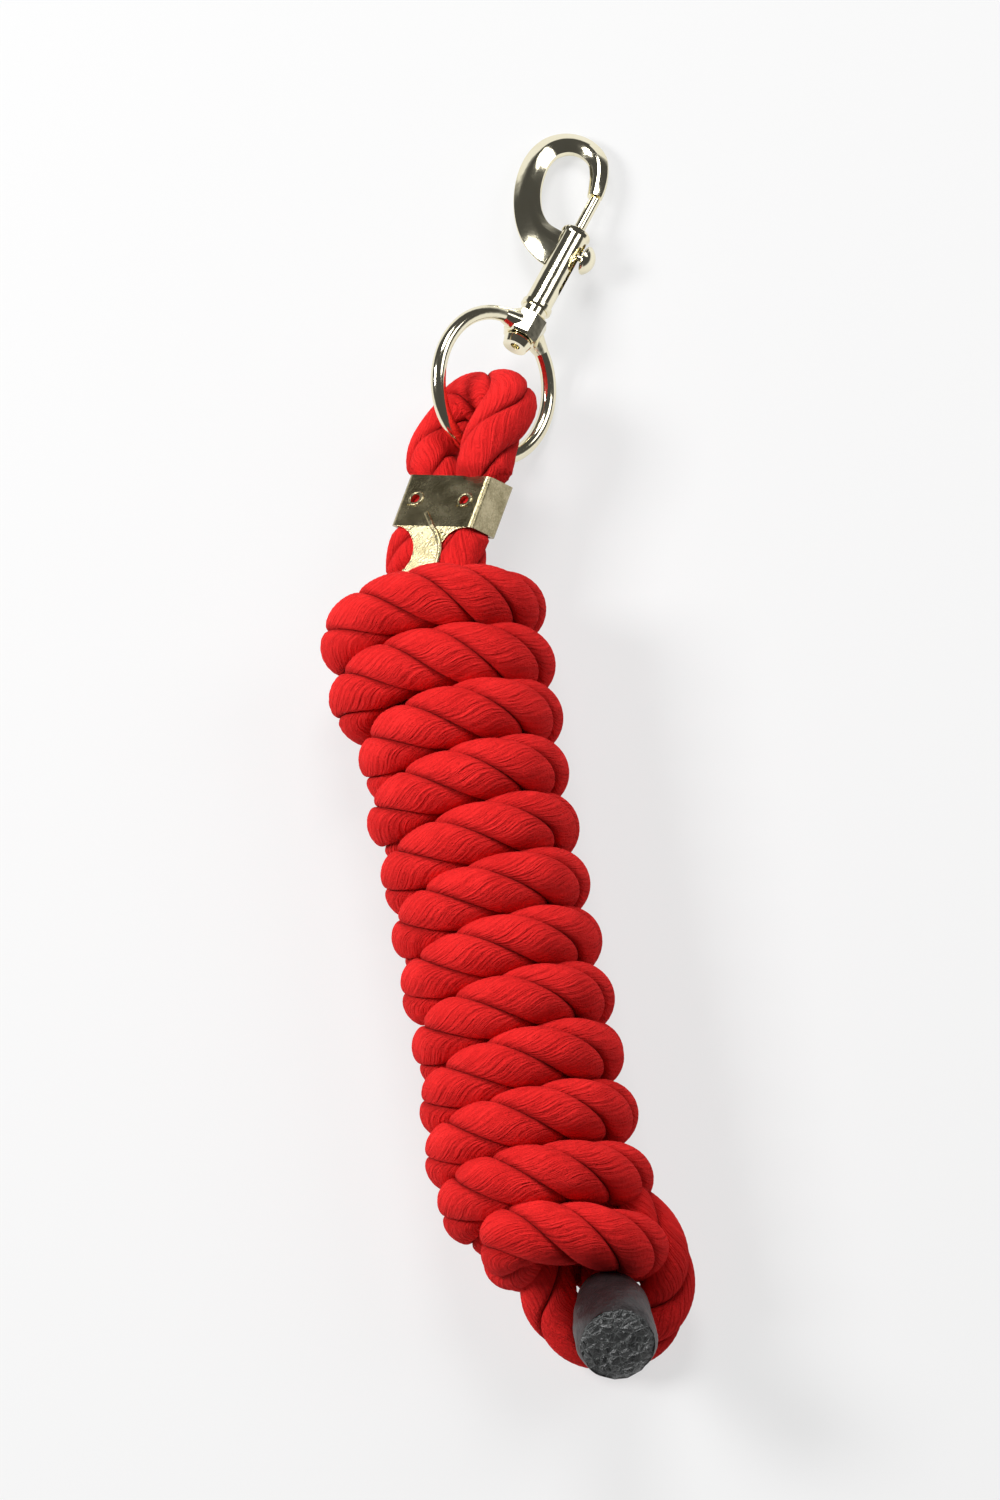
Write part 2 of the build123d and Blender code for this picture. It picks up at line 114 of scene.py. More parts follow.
# ---------------------------------------------------------------- rope: route
# The whole rope from its cut end in the clamp: up round the ring, back through the clamp, down the
# core, round the bight, up again, then eleven turns down the core, and out through the bight.
leg_x = 7.0
tail_x = 13.5
route = [
    at(fold, -leg_x, -25), at(fold, -leg_x - 3.2, -9), at(clamp, -leg_x, -16), at(clamp, -leg_x - 1.3, 0),
    at(eye, -12.7, -5), at(eye, -11.5, 6), at(eye, -10.0, 18.6),
    at(eye, 13.4, 18.6), at(eye, 14.2, 6), at(eye, 13.8, -5),
    at(clamp, leg_x + 1.6, 0), at(clamp, leg_x, -16), at(fold, leg_x + 1.5, -9), at(fold, leg_x, -25),
    in_hank(7, -30, 27), in_hank(6, -75, 27), in_hank(6, -125, 27), in_hank(7, -170, 27),
    past_hank(20, 16, 29), past_hank(29, 4, 26), past_hank(32.5, -5, 20.5), past_hank(31, -15.5, 12.5),
    past_hank(22, -25.5, 9.2), past_hank(5.5, -25.2, 9), past_hank(-4.1, -15.5, 13.5),
    past_hank(-5, -4, 23), past_hank(-8, 12, 28.5),
    in_hank(-7, -170, 27), in_hank(-6, -125, 27), in_hank(-6, -75, 27), in_hank(-6, -35, 25),
    in_hank(-2, -14, 17), in_hank(10, -5, 12),
]

# No two turns are alike: each one's ends and top stand out by their own millimetres, and it leans.
per_turn = 16
wind_half_w, wind_half_h = 24.0, 20.0
wound_from, wound_to = -0.40, 11.3
left_out = [7.5, 8.0, 1.5, 2.0, 1.0, 0.3, 0.8, 0.0, 1.0, 2.5, 0.5, -12.0]
right_out = [-3.0, -3.5, -4.5, -5.0, -4.5, -4.0, -3.5, -3.0, -2.5, -1.5, 0.0, 1.0]
top_out = [1.0, -0.6, 0.8, 0.0, -0.7, 0.6, -0.4, 0.7, -0.6, 0.4, 0.9, 0.0]
tilts = [0.10, 0.08, 0.0, 0.02, -0.02, 0.0, 0.03, 0.0, 0.02, 0.10, 0.20, 0.42]
tongue_pushes, tongue_at, tongue_spread = (5.0, 4.0, 2.5, 1.0), 0.10, 0.15
corner = cos(pi / per_turn)             # the curve cuts inside its corners by this share
marks = range(len(tilts))
for i in range(int(wound_from * per_turn), int(wound_to * per_turn) + 1):
    t = i / per_turn
    turn = 2 * pi * t + pi / 2
    side, rise = cos(turn), sin(turn)
    k = min(max(t - 0.25, 0), turns)
    out = np.interp(k, marks, right_out if side > 0 else left_out) * abs(side) ** 2
    lift = np.interp(k, marks, top_out) * max(rise, 0) ** 2
    x = (wind_half_w / corner + out) * side
    over_tongue = sum(
        push * exp(-(((t - n - tongue_at) / tongue_spread) ** 2)) for n, push in enumerate(tongue_pushes)
    )
    y = over_tongue - pitch / MM * t - np.interp(k, marks, tilts) * x
    route.append(in_hank(x, y, hank_z / MM + (wind_half_h / corner + lift) * rise))
route += [
    past_hank(-14, 4, 14), past_hank(-4, 6, 10), past_hank(6, 4, 9.4), past_hank(12.5, -1.5, 10.5),
    past_hank(14.2, -8, 17), past_hank(tail_x, -15.5, 26.5), past_hank(tail_x, -24, 36), past_hank(tail_x, -37, 52),
]


def spline_points(name, points, step):
    """Points along the NURBS curve whose control points these are, evenly spaced."""
    curve = bpy.data.curves.new(name, "CURVE")
    curve.dimensions = "3D"
    spline = curve.splines.new("NURBS")
    spline.points.add(len(points) - 1)
    for p, co in zip(spline.points, points):
        p.co = (*co, 1)
    spline.order_u = 3
    spline.use_endpoint_u = True
    spline.resolution_u = 14
    holder = bpy.data.objects.new(name, curve)
    bpy.context.collection.objects.link(holder)
    drawn = bpy.data.meshes.new_from_object(holder)
    raw = np.array([v.co[:] for v in drawn.vertices])
    bpy.data.objects.remove(holder)
    bpy.data.meshes.remove(drawn)
    run = np.r_[0, np.cumsum(np.linalg.norm(np.diff(raw, axis=0), axis=1))]
    s = np.linspace(0, run[-1], int(run[-1] / step) + 1)
    return s, np.column_stack([np.interp(s, run, raw[:, k]) for k in range(3)])


along, line = spline_points("rope_route", route, 1.5 * MM)
print("rope length", round(float(along[-1]), 4))

# ---------------------------------------------------------------- rope: laid strands
# Three soft strands, right-laid, as one skin: full and round over each strand, with a narrow sharp
# crease where two strands meet. It is thinner where it is gripped or drawn tight.
per_strand = 22


def carried_frames(points, start=(0, 0, 1)):
    """Two normals along a line, turned as little as possible from point to point."""
    tangent = np.gradient(points, axis=0)
    tangent /= np.linalg.norm(tangent, axis=1)[:, None]
    n = np.array(start, float)
    normal = np.empty_like(points)
    for i, t in enumerate(tangent):
        n = n - t * np.dot(n, t)
        n /= np.linalg.norm(n)
        normal[i] = n
    return normal, np.cross(tangent, normal)


def beside(place):
    """Length along the rope at which it passes nearest to a place."""
    return float(along[np.argmin(np.linalg.norm(line - np.array(place), axis=1))])


def changing(*steps):
    """Millimetres that change along the rope, from (length along it, size) pairs, in metres."""
    return np.interp(along, [s for s, _ in steps], [size * MM for _, size in steps])


normal, binormal = carried_frames(line)
s_apex = beside(at(eye, 2.0, 19.5))
s_legs = beside(at(fold, leg_x, -25)) + 0.01
s_turns = beside(in_hank(10, -5, 12))
s_bight = beside(past_hank(5.5, -25.2, 9))
s_tail = float(along[-1]) - 0.075
radius = changing(
    (0, 8.8), (s_apex - 0.03, 8.5), (s_apex + 0.03, 9.2), (s_legs, 8.8), (s_bight - 0.05, 9.1),
    (s_bight + 0.05, 9.1), (s_turns, 9.0), (s_turns + 0.05, 10.3), (s_tail, 10.0), (s_tail + 0.03, 8.5),
)
lay = changing((0, 60), (s_legs, 58), (s_turns, 48), (s_turns + 0.05, 45), (s_tail, 46), (s_tail + 0.03, 55))
rng = np.random.default_rng(4)


def wander(size, spacing):
    """Slow random change along the rope."""
    knots = np.arange(0, along[-1] + spacing, spacing)
    return np.interp(along, knots, rng.normal(0, size, len(knots)))


twist = np.cumsum(np.r_[0, np.diff(along)] / lay)
phase = 2 * pi * twist + 0.6 + wander(0.16, 0.05)
plump = [1 + wander(0.022, 0.035) for _ in range(3)]
around = []
for strand in range(3):
    for i in range(per_strand):
        u = -1 + 2 * i / per_strand
        around.append((strand, np.sign(u) * (1 - (1 - abs(u)) ** 1.5)))
rings = len(line)
verts = np.empty((rings, len(around), 3))
for j, (strand, u) in enumerate(around):
    angle = phase + 2 * pi / 3 * (strand + u / 2)
    edge = abs(u)
    own = plump[strand] * (1 - edge) + edge
    r = radius * own * (1 - 0.12 * edge**2.0 - 0.14 * np.exp(-(1 - edge) / 0.085))
    verts[:, j] = line + normal * (r * np.cos(angle))[:, None] + binormal * (r * np.sin(angle))[:, None]

# ---------------------------------------------------------------- rope: pressed in the clamp
# The two legs fill the folded boxes side by side and swell through the round notches between them.
# Behind the tongue they lie against the sheet, and underneath, the whole rope lies on the floor.
rope_from_floor = 0.3 * MM


def step_up(x, low, high):
    """0 below low, 1 above high, smooth between."""
    t = np.clip((x - low) / (high - low), 0, 1)
    return t * t * (3 - 2 * t)


def into(matrix, points):
    """World points in a frame's own millimetres."""
    m = np.array(matrix.inverted())
    return (points @ m[:3, :3].T + m[:3, 3]) / MM


def out_of(matrix, points):
    """A frame's own millimetres back in the world."""
    m = np.array(matrix)
    return points * MM @ m[:3, :3].T + m[:3, 3]


def pressed(local, side, weight):
    """Press one leg into its half of the folded box, as far as weight says."""
    half_w, half_t = clamp_w / 4 - clamp_sheet / 2 - 0.1, clamp_t / 2 - clamp_sheet - 0.1
    dx, z = local[..., 0] - side * leg_x, local[..., 2]
    r = np.hypot(dx, z) + 1e-6
    limit = ((np.abs(dx / r) / half_w) ** 6 + (np.abs(z / r) / half_t) ** 6) ** (-1 / 6)
    share = 1 + (np.minimum(limit / r, 1) - 1) * weight
    local[..., 0], local[..., 2] = side * leg_x + dx * share, z * share
    local[..., 0] = np.where(weight > 0, side * np.maximum(side * local[..., 0], 0.05), local[..., 0])
    return local


for side, low_s, high_s in ((-1, 0.0, s_apex), (1, s_apex, s_legs)):
    part = (along >= low_s) & (along < high_s)
    local = into(clamp, verts[part])
    raked = (clamp_t / 2 - local[..., 2]) * clamp_rake / clamp_t
    y = local[..., 1] - raked
    inside = step_up(-y, -2.5, 0.2) * (1 - step_up(-y, clamp_top_h - 0.2, clamp_top_h + 2.0))
    verts[part] = out_of(clamp, pressed(local, side, inside))
    local = into(fold, verts[part])
    y = -local[..., 1]
    local = pressed(local, side, step_up(y, 2 * notch_r - 2.5, 2 * notch_r))
    bite = np.sqrt(np.maximum(notch_r**2 - (np.clip(y, 0, 2 * notch_r) - notch_r) ** 2, 0))
    beyond = np.maximum(np.abs(local[..., 0]) - (waist_w / 2 + notch_r - bite), 0)
    behind_sheet = clamp_t / 2 - clamp_sheet - 0.15 + 1.6 * np.sqrt(beyond)
    by_tongue = (y > -1) & (y < 2 * notch_r + 1)
    local[..., 2] = np.where(by_tongue, np.minimum(local[..., 2], behind_sheet), local[..., 2])
    verts[part] = out_of(fold, local)
verts[:, :, 2] = np.maximum(verts[:, :, 2], rope_from_floor)

# ---------------------------------------------------------------- rope: skin
# One closed skin over the three strands. Its UV counts the strands' turns along the rope in u, and
# goes once round it in v, so the yarns can follow the lay.


def mesh_object(name, verts, faces, smooth=True):
    mesh = bpy.data.meshes.new(name)
    mesh.from_pydata([tuple(v) for v in verts], [], [tuple(f) for f in faces])
    mesh.update()
    obj = bpy.data.objects.new(name, mesh)
    bpy.context.collection.objects.link(obj)
    mesh.polygons.foreach_set("use_smooth", [smooth] * len(mesh.polygons))
    return obj


def tube_faces(rows, cells, ends=True, closed=False):
    """Faces over rows of points, cells in each; closed joins the last row to the first."""
    faces = []
    for k in range(rows if closed else rows - 1):
        here, there = k * cells, (k + 1) % rows * cells
        for c in range(cells):
            d = (c + 1) % cells
            faces.append((here + c, here + d, there + d, there + c))
    if ends and not closed:
        faces.append(tuple(range(cells - 1, -1, -1)))
        faces.append(tuple((rows - 1) * cells + c for c in range(cells)))
    return faces


n = len(around)
rope = mesh_object("laid_rope", verts.reshape(-1, 3), tube_faces(rings, n))
index = np.empty(len(rope.data.loops), int)
rope.data.loops.foreach_get("vertex_index", index)
coords = np.column_stack([twist[index // n], index % n / n])
wrap = coords[:(rings - 1) * n * 4, 1].reshape(-1, 4)
seam = np.ptp(wrap, axis=1) > 0.5
wrap[seam] = np.where(wrap[seam] < 0.5, 1.0, wrap[seam])
coords[:(rings - 1) * n * 4, 1] = wrap.reshape(-1)
rope.data.uv_layers.new(name="UVMap").data.foreach_set("uv", coords.reshape(-1))


# ---------------------------------------------------------------- rope: cotton
# Soft cotton with fine yarns that run nearly along the rope, and a little fluff. Painted shade
# darkens each strand towards the creases between strands, so each is paler along its middle.
class Sock:
    """Output socket that can be added, subtracted and multiplied."""

    def __init__(self, tree, out):
        self.tree, self.out = tree, out

    def _math(self, op, first, second=0.0):
        return add_node(self.tree, "Math", settings={"operation": op}, i0=first, i1=second)

    def __add__(self, o):
        return self._math("ADD", self, o)

    def __radd__(self, o):
        return self._math("ADD", o, self)

    def __sub__(self, o):
        return self._math("SUBTRACT", self, o)

    def __rsub__(self, o):
        return self._math("SUBTRACT", o, self)

    def __mul__(self, o):
        return self._math("MULTIPLY", self, o)

    def __rmul__(self, o):
        return self._math("MULTIPLY", o, self)

    def __pow__(self, o):
        return self._math("POWER", self, o)

    def size(self):
        return self._math("ABSOLUTE", self)

    def share(self):
        return self._math("FRACT", self)


def add_node(tree, kind, out=0, settings=None, stops=(), **inputs):
    """Node with its settings and ramp stops set first, then its inputs by name, or i0, i1 by place."""
    node = tree.nodes.new("ShaderNode" + kind)
    for key, value in (settings or {}).items():
        setattr(node, key, value)
    for _ in stops[2:]:
        node.color_ramp.elements.new(0.5)
    for k, (place, colour) in enumerate(stops):
        node.color_ramp.elements[k].position = place
        node.color_ramp.elements[k].color = (*colour, 1)
    for key, value in inputs.items():
        socket = node.inputs[int(key[1:]) if key[1:].isdigit() else key]
        if isinstance(value, Sock):
            tree.links.new(value.out, socket)
        else:
            socket.default_value = value
    return Sock(tree, node.outputs[out])


class Paint:
    """A material and the few nodes that are used to mix it."""

    def __init__(self, name, **plain):
        self.mat = bpy.data.materials.new(name)
        self.mat.use_nodes = True
        self.tree = self.mat.node_tree
        self.shader = self.tree.nodes["Principled BSDF"]
        self.out = self.tree.nodes["Material Output"]
        for key, value in plain.items():
            self.shader.inputs[key.replace("_", " ")].default_value = value

    def node(self, kind, **words):
        return add_node(self.tree, kind, **words)

    def object_at(self, sx=1, sy=1, sz=1):
        return self.node("Mapping", Vector=self.node("TexCoord", out=3), Scale=(sx, sy, sz))

    def noise(self, at, scale, detail=3.0, rough=0.55):
        return self.node("TexNoise", Vector=at, Scale=scale, Detail=detail, Roughness=rough)

    def ramp(self, value, stops):
        return self.node("ValToRGB", stops=stops, i0=value)

    def mix(self, factor, a, b):
        return self.node("Mix", out=2, settings={"data_type": "RGBA"}, i0=factor, i6=a, i7=b)

    def bump(self, height, distance, strength=1.0):
        return self.node("Bump", Height=height, Distance=distance, Strength=strength)

    def link(self, **sockets):
        for key, value in sockets.items():
            self.tree.links.new(value.out, self.shader.inputs[key.replace("_", " ")])
        return self.mat


def give(obj, paint_mat, body):
    """Material and body of a piece."""
    obj.data.materials.clear()
    obj.data.materials.append(paint_mat)
    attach(obj, body)
    return obj


yarns_per_lay, yarns_round = 3.8, 75
red = Paint("cotton_red", Roughness=0.95, Specular_IOR_Level=0.12)
on_rope = red.node("UVMap", settings={"uv_map": "UVMap"})
down = red.node("SeparateXYZ", out=0, Vector=on_rope)
across = red.node("SeparateXYZ", out=1, Vector=on_rope)
yarn_at = red.node("CombineXYZ", X=down * yarns_per_lay, Y=(across + down) * yarns_round, Z=0.0)
yarns = red.noise(yarn_at, 1.0, 3.0, 0.6)
fluff = red.noise(red.object_at(), 1100.0, 3.0, 0.7)
patches = red.noise(red.object_at(), 70.0, 3.0, 0.5)
strand_edge = ((across * 3).share() - 0.5).size() * 2
# Painted shade: the strands are darkened towards the creases, down to a dark red in the creases themselves.
painted_crease_shade = red.ramp(strand_edge, [
    (0.0, (0, 0, 0)), (0.62, (0.03, 0.03, 0.03)), (0.90, (0.32, 0.32, 0.32)), (1.0, (1, 1, 1)),
])
tone = red.ramp(patches * 0.4 + yarns * 0.6, [(0.32, (0.62, 0.011, 0.011)), (0.62, (0.92, 0.025, 0.024))])
# The dark red mixed into the base colour here is the painted shade of the creases.
red_mat = red.link(
    Base_Color=red.mix(painted_crease_shade * 0.85, tone, (0.14, 0.003, 0.004, 1)),
    Normal=red.bump(yarns + fluff * 0.4, 0.0022, 0.9),
)
give(rope, red_mat, "rope")
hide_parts("rope_hank", "rope_bight", "rope_tail", "rope_eye", "rope_throat")

# ---------------------------------------------------------------- clamp
# Pressed brass-plated sheet, folded round both legs of the rope and bitten into them by its prongs.
# It is dull and finely grained from tumbling, and rubbed bright on its edges.


def coated(name, finish):
    """Finish for a CAD piece that is shown as it is."""
    piece = frame["nodes"][name]
    piece.data.materials.clear()
    piece.data.materials.append(finish)


sheet = Paint("clamp_plate", Metallic=1.0, IOR=1.45)
grit = sheet.noise(sheet.object_at(), 1500.0, 3.0, 0.7)
cloud = sheet.noise(sheet.object_at(), 160.0, 3.0, 0.6)
sheet_mat = sheet.link(
    Base_Color=sheet.ramp(cloud * 0.5 + grit * 0.5, [(0.35, (0.22, 0.185, 0.09)), (0.65, (0.55, 0.48, 0.30))]),
    Roughness=cloud * 0.2 + 0.16,
    Normal=sheet.bump(grit, 0.00016, 0.7),
)
coated("rope_clamp", sheet_mat)

# Each prong hole has a bright lip where the punch turned the metal up.
prong_x, prong_y, lip_r, lip_half_w, lip_half_h, lip_point = 9.2, -9.1, 2.15, 0.5, 0.45, 0.25
lip_steps, lip_cells = 28, 8
for name, side in (("prong_lip_left", -1), ("prong_lip_right", 1)):
    lip = []
    for i in range(lip_steps):
        a = 2 * pi * i / lip_steps
        for c in range(lip_cells):
            b = 2 * pi * c / lip_cells
            r = lip_r + lip_half_w * cos(b) + lip_point * max(0, cos(a - pi / 4))
            x, y = side * prong_x + r * cos(a), prong_y + r * sin(a)
            lip.append(at(clamp, x, y, clamp_t / 2 + lip_half_h * sin(b)))
    outward = [face[::-1] for face in tube_faces(lip_steps, lip_cells, closed=True)]
    give(mesh_object(name, lip, outward), sheet_mat, "rope")

# ---------------------------------------------------------------- ring, rivet, bolt and knob
# A welded wire ring with an eight-sided boss, the rivet that the snap turns on, and the bolt with
# its thumb knob. Pale gold plating, nearly a mirror, with faint waves left by the polishing.
plate = Paint("snap_plate", Metallic=1.0)
waves = plate.noise(plate.object_at(), 150.0, 2.0, 0.5)
specks = plate.noise(plate.object_at(), 1200.0, 2.0, 0.6)
plate_mat = plate.link(
    Base_Color=plate.mix(waves, (0.84, 0.77, 0.55, 1), (0.92, 0.87, 0.68, 1)),
    Roughness=specks * 0.07 + 0.07,
    Normal=plate.bump(waves, 0.0004, 0.3),
)
for name in ("swivel_ring", "swivel_rivet", "snap_bolt", "thumb_knob"):
    coated(name, plate_mat)

# ---------------------------------------------------------------- snap body
# One plated casting, riveted to the ring: a hook of ridged section, flat outside and steep inside,
# and a bored barrel with a slot for the thumb knob.
snap_roll = 4.0
snap = lying(snap_heading, snap_slope, snap_roll, boss_at)
hook_stations = (               # across, along, width, thickness, how sharp its ridge is
    (0.0, 30.0, 13.8, 7.0, 1.0), (-6.0, 31.2, 13.0, 7.2, 1.0), (-12.0, 33.8, 10.9, 7.4, 1.0),
    (-16.9, 38.8, 9.4, 7.4, 1.0), (-20.6, 45.6, 8.9, 7.4, 1.0), (-22.6, 52.5, 8.8, 7.4, 1.0),
    (-23.0, 58.6, 8.7, 7.3, 1.0), (-21.6, 64.0, 8.4, 7.0, 1.0), (-18.4, 67.4, 8.0, 6.8, 0.9),
    (-14.4, 68.9, 7.4, 6.5, 0.8), (-10.0, 68.6, 7.0, 6.3, 0.7), (-5.6, 66.2, 6.6, 6.0, 0.6),
    (-2.8, 61.6, 6.1, 5.6, 0.5), (-1.2, 56.8, 5.6, 5.2, 0.4), (-0.5, 53.3, 4.9, 4.8, 0.4),
)
ridged = (                      # half a section, from its inner edge to its outer one
    (0.5, 0), (0.5, 0.05), (0.48, 0.10), (0.3, 0.26), (0.06, 0.47), (-0.01, 0.5), (-0.08, 0.47),
    (-0.26, 0.33), (-0.46, 0.17), (-0.5, 0),
)
rounded = (
    (0.5, 0), (0.488, 0.14), (0.43, 0.28), (0.27, 0.42), (0.09, 0.492), (-0.09, 0.492), (-0.27, 0.42),
    (-0.40, 0.30), (-0.485, 0.14), (-0.5, 0),
)
barrel = [
    (0, 7.2), (4.6, 7.2), (5.1, 7.7), (5.1, 9.1), (4.5, 9.6), (4.5, 36.8), (4.8, 37.3), (4.95, 37.9),
    (4.8, 38.5), (4.3, 39.0), (0, 39.0),
]
bore_r, guide_r, bore_end, nose_end = 2.75, 1.93, 35.8, 53.2
slot_half, slot_from, slot_to, slot_depths = 1.35, 15.5, 36.0, (1.5, 9.0)


def smooth_rows(rows, per_span):
    """Rows of numbers with a smooth curve through them, per_span steps from one to the next."""
    rows = np.array(rows, float)
    slope = np.gradient(rows, axis=0)
    out = []
    for a, b, da, db in zip(rows, rows[1:], slope, slope[1:]):
        for t in np.arange(per_span) / per_span:
            near, far = 2 * t**3 - 3 * t**2 + 1, 3 * t**2 - 2 * t**3
            out.append(a * near + b * far + da * (t**3 - 2 * t**2 + t) + db * (t**3 - t**2))
    return np.array(out + [rows[-1]])


def turned(name, profile, cells=48):
    """Solid turned round the snap's Y axis from (radius, along) points, its ends on the axis."""
    points = [at(snap, 0, profile[0][1]), at(snap, 0, profile[-1][1])]
    for r, y in profile[1:-1]:
        points += [at(snap, r * sin(2 * pi * c / cells), y, r * cos(2 * pi * c / cells)) for c in range(cells)]
    faces, last = [], 2 + (len(profile) - 3) * cells
    for c in range(cells):
        d = (c + 1) % cells
        faces += [(0, 2 + c, 2 + d), (1, last + d, last + c)]
        for k in range(2, last, cells):
            faces.append((k + c, k + cells + c, k + cells + d, k + d))
    return mesh_object(name, points, faces)


def carved(piece, tool, how):
    """Piece joined with or cut by a closed tool, which is then thrown away."""
    change = piece.modifiers.new("change", "BOOLEAN")
    change.operation, change.object, change.solver = how, tool, "EXACT"
    shape = bpy.data.meshes.new_from_object(piece.evaluated_get(bpy.context.evaluated_depsgraph_get()))
    piece.modifiers.clear()
    piece.data = shape
    bpy.data.objects.remove(tool)


hook = smooth_rows(hook_stations, 5)
course = np.gradient(hook[:, :2], axis=0)
course /= np.linalg.norm(course, axis=1)[:, None]
cast = []
for (x, y, width, thick, sharp), (cx, cy) in zip(hook, course):
    half = [(sharp * u + (1 - sharp) * v, sharp * h + (1 - sharp) * k) for (u, h), (v, k) in zip(ridged, rounded)]
    for u, h in half + [(u, -h) for u, h in half[-2:0:-1]]:
        cast.append(at(snap, x - cy * u * width, y + cx * u * width, h * thick))
hook_cast = mesh_object("hook_cast", cast, tube_faces(len(hook), 2 * len(ridged) - 2))
body = turned("snap_cast", barrel)
carved(body, hook_cast, "UNION")
bore = [(0, 5), (bore_r, 5), (bore_r, bore_end), (guide_r, bore_end), (guide_r, nose_end), (0, nose_end)]
carved(body, turned("bore", bore), "DIFFERENCE")
slot_line = []
for middle, start in ((slot_from + slot_half, pi / 2), (slot_to - slot_half, -pi / 2)):
    slot_line += [(middle + slot_half * cos(a), slot_half * sin(a)) for a in np.linspace(start, start + pi, 9)]
cutter = [at(snap, x, y, z) for x in slot_depths for y, z in slot_line]
carved(body, mesh_object("slot", cutter, tube_faces(2, len(slot_line))), "DIFFERENCE")
body.data.set_sharp_from_angle(angle=radians(24))
give(body, plate_mat, "snap")
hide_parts("snap_body")

# ---------------------------------------------------------------- bolt spring
# Steel wire wound in six turns, held in the barrel between the rivet's foot and the bolt's piston.
spring_low, spring_high, spring_turns, coil_r, wire_r = 12.15, 26.85, 6, 2.25, 0.3
coil_steps, wire_cells = 144, 8
coil = []
for k in range(coil_steps + 1):
    a = 2 * pi * spring_turns * k / coil_steps
    y = spring_low + (spring_high - spring_low) * k / coil_steps
    for c in range(wire_cells):
        b = 2 * pi * c / wire_cells
        r = coil_r + wire_r * cos(b)
        coil.append(at(snap, r * sin(a), y + wire_r * sin(b), r * cos(a)))
wire = Paint("spring_steel", Metallic=1.0, Roughness=0.25)
drawn_marks = wire.noise(wire.object_at(), 800.0)
wire_mat = wire.link(Base_Color=wire.mix(drawn_marks, (0.42, 0.41, 0.38, 1), (0.6, 0.59, 0.55, 1)))
spring = mesh_object("wound_spring", coil, tube_faces(coil_steps + 1, wire_cells))
give(spring, wire_mat, "snap")
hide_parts("bolt_spring")
at(snap, 0, spring_low - wire_r)
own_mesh(spring)

# ---------------------------------------------------------------- end cap
# Black vinyl shrunk on the rope's end, which it holds together. Its sleeve follows the three
# strands, and its face is drawn in and crumpled.
cap_l, belly_r, mouth_r, sleeve_rows, cap_cells = 37.0, 12.9, 10.7, 19, 48
cap_axis = Vector((0, -cos(radians(50)), sin(radians(50))))
cap = Matrix((Vector((1, 0, 0)), cap_axis.cross(Vector((1, 0, 0))), cap_axis)).transposed().to_4x4()
cap = Matrix.Translation(past_hank(tail_x, -19.9, 32.4)) @ cap
shell = []
for i in range(sleeve_rows):
    h = cap_l * 0.93 * i / (sleeve_rows - 1)
    r = mouth_r + (belly_r - mouth_r) * sin(min(h / (cap_l * 0.68), 1) * pi / 2)
    r -= 1.3 * max(0, h / cap_l - 0.80) / 0.13
    for c in range(cap_cells):
        a = 2 * pi * c / cap_cells
        swell = 0.35 * cos(3 * a - 0.16 * h) + 0.12 * cos(7 * a + 0.5 * h)
        shell.append(at(cap, (r - 0.35 + swell) * cos(a), (r - 0.35 + swell) * sin(a), h))
sleeve = mesh_object("cap_sleeve", shell, tube_faces(sleeve_rows, cap_cells, ends=False))

rims = (                        # radius, height, folds round it, how rough
    (11.6, 34.2, 16, 0.2), (9.4, 35.8, 16, 0.8), (6.2, 36.2, 14, 0.8), (3.4, 36.2, 8, 0.7), (1.2, 36.0, 4, 0.5),
)
facets, folds = [], []
for r, h, count, rough in rims:
    start = rng.uniform(0, 1)
    for c in range(count):
        a = 2 * pi * (c + start + rng.uniform(-0.22, 0.22)) / count
        rr = r + rng.uniform(-0.5, 0.5) * rough
        facets.append(at(cap, rr * cos(a), rr * sin(a), h + rng.uniform(-1, 1) * rough * 0.8))


def nearest(angles, a):
    """Which of the angles is nearest to a."""
    return min(range(len(angles)), key=lambda k: abs(sin((angles[k] - a) / 2)))


first = 0
for (_, _, count, _), (_, _, inner, _) in zip(rims, rims[1:]):
    places = [into(cap, np.array(v)) for v in facets[first:first + count + inner]]
    angles = [atan2(v[1], v[0]) for v in places]
    for c in range(count):
        d = (c + 1) % count
        here, there = nearest(angles[count:], angles[c]), nearest(angles[count:], angles[d])
        folds.append((first + c, first + d, first + count + here))
        if there != here:
            folds.append((first + d, first + count + there, first + count + here))
    first += count
folds.append(tuple(range(first, first + rims[-1][2])))
face = mesh_object("cap_face", facets, folds, smooth=False)

vinyl = Paint("cap_vinyl", Specular_IOR_Level=0.35)
ripple = vinyl.noise(vinyl.object_at(), 260.0, 3.0, 0.6)
vinyl_mat = vinyl.link(
    Base_Color=vinyl.mix(ripple, (0.008, 0.005, 0.005, 1), (0.026, 0.017, 0.018, 1)),
    Roughness=ripple * 0.2 + 0.34,
    Normal=vinyl.bump(ripple, 0.0012, 0.7),
)
crumple = Paint("cap_crumpled_painted_glints", Specular_IOR_Level=0.8)
creased = crumple.noise(crumple.object_at(), 420.0, 4.0, 0.7)
edges = crumple.node(
    "TexVoronoi", settings={"feature": "DISTANCE_TO_EDGE"}, Vector=crumple.object_at(1, 1.4, 1), Scale=330.0
)
# Painted glints: thin light grey lines along the crease edges of the crumpled face, patchy with the crease noise,
# stand in for highlights.
painted_crease_glints = crumple.ramp(edges + creased * 0.12, [(0.0, (1, 1, 1)), (0.10, (0.4, 0.4, 0.4)), (0.22, (0, 0, 0))])
crumple_mat = crumple.link(
    Base_Color=crumple.mix(painted_crease_glints * creased**2, (0.014, 0.015, 0.015, 1), (0.45, 0.47, 0.46, 1)),
    Roughness=creased * 0.3 + 0.08,
    Normal=crumple.bump(edges * 0.6 + creased * 0.5, 0.003, 0.9),
)
give(sleeve, vinyl_mat, "rope")
give(face, crumple_mat, "rope")
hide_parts("end_cap")

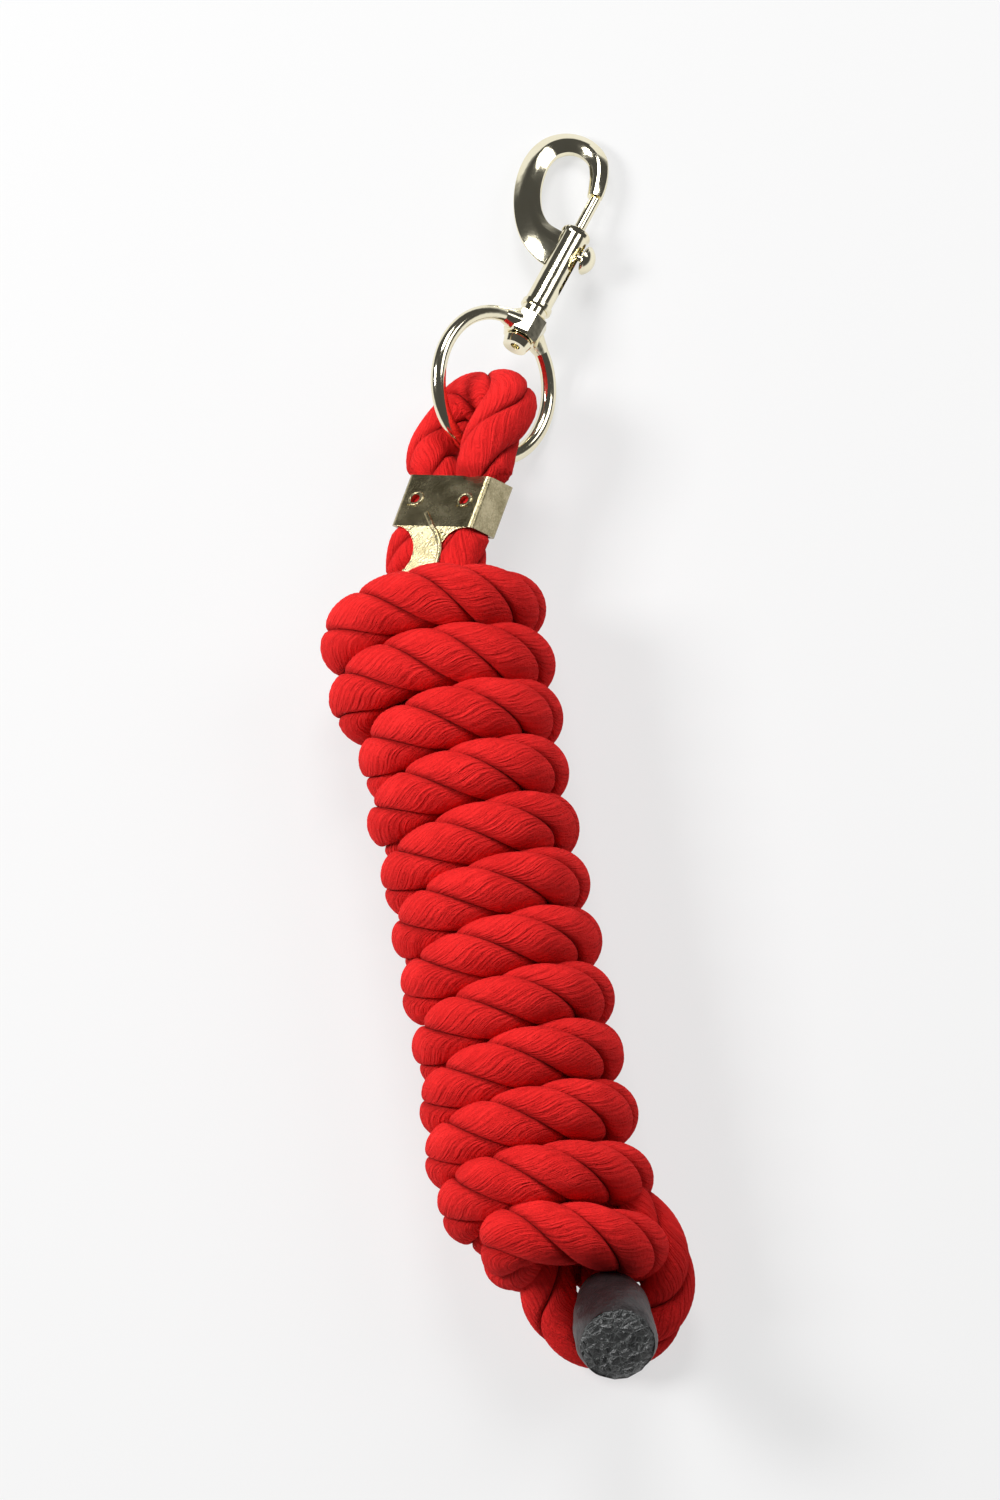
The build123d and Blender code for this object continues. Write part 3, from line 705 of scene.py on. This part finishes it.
# ---------------------------------------------------------------- studio
# A plain pale floor and three soft square lamps: the key from the upper left, one behind the snap
# and a weak one on the right. The wall round them is dark above, so the plating shows dark bands.
bpy.ops.mesh.primitive_plane_add(size=12, location=(0, 0, 0))
floor = bpy.context.object
floor.name = "studio_floor"
pale = Paint("floor_pale", Base_Color=(0.84, 0.84, 0.84, 1), Roughness=0.9)
glow = pale.node("Emission", Color=(0.9, 0.9, 0.9, 1), Strength=1.0)
seen = pale.node("LightPath", out=0) + pale.node("LightPath", out=3)
lit = Sock(pale.tree, pale.shader.outputs[0])
pale.tree.links.new(pale.node("MixShader", i0=seen * 0.7, i1=lit, i2=glow).out, pale.out.inputs[0])
floor.data.materials.append(pale.mat)


def area_light(name, place, size, power):
    """Square light that faces the middle of the rope."""
    data = bpy.data.lights.new(name, "AREA")
    data.size = size
    data.energy = power
    obj = bpy.data.objects.new(name, data)
    bpy.context.collection.objects.link(obj)
    obj.location = place
    obj.rotation_euler = (-Vector(place)).to_track_quat("-Z", "Y").to_euler()


area_light("key", (-1.15, 0.35, 1.15), 0.55, 25)
area_light("back", (0.16, 0.98, 1.25), 0.6, 13)
area_light("side", (1.11, 0.23, 0.98), 0.7, 5)
world = bpy.data.worlds.new("studio")
bpy.context.scene.world = world
world.use_nodes = True
sky = world.node_tree
height = add_node(sky, "SeparateXYZ", out=2, Vector=add_node(sky, "TexCoord"))
wall = add_node(sky, "ValToRGB", stops=[(0.0, (0.4, 0.4, 0.4)), (0.12, (0.07, 0.07, 0.07))], i0=height)
sky.links.new(wall.out, sky.nodes["Background"].inputs[0])

# The camera looks down on the rope from the tail's side, through a long lens, tilted as it hangs.
lift, lean = radians(70), radians(9.8)
towards = Vector((0, -cos(lift), sin(lift)))
up = Vector((0, sin(lift), cos(lift)))
cam_x = Vector((1, 0, 0)) * cos(lean) - up * sin(lean)
cam_y = Vector((1, 0, 0)) * sin(lean) + up * cos(lean)
view_h, far_lens, sensor_w, right_by, down_by = 0.475, 300, 36, 14.1 * MM, 28.8 * MM
cam_data = bpy.data.cameras.new("camera")
cam_data.lens = far_lens
cam_data.sensor_width = sensor_w
cam = bpy.data.objects.new("camera", cam_data)
bpy.context.collection.objects.link(cam)
cam.location = in_hank(0, 0, 0) + cam_x * right_by - cam_y * down_by + towards * view_h / sensor_w * far_lens
cam.rotation_euler = Matrix((cam_x, cam_y, towards)).transposed().to_euler()
bpy.context.scene.camera = cam
bpy.context.scene.view_settings.view_transform = "Standard"
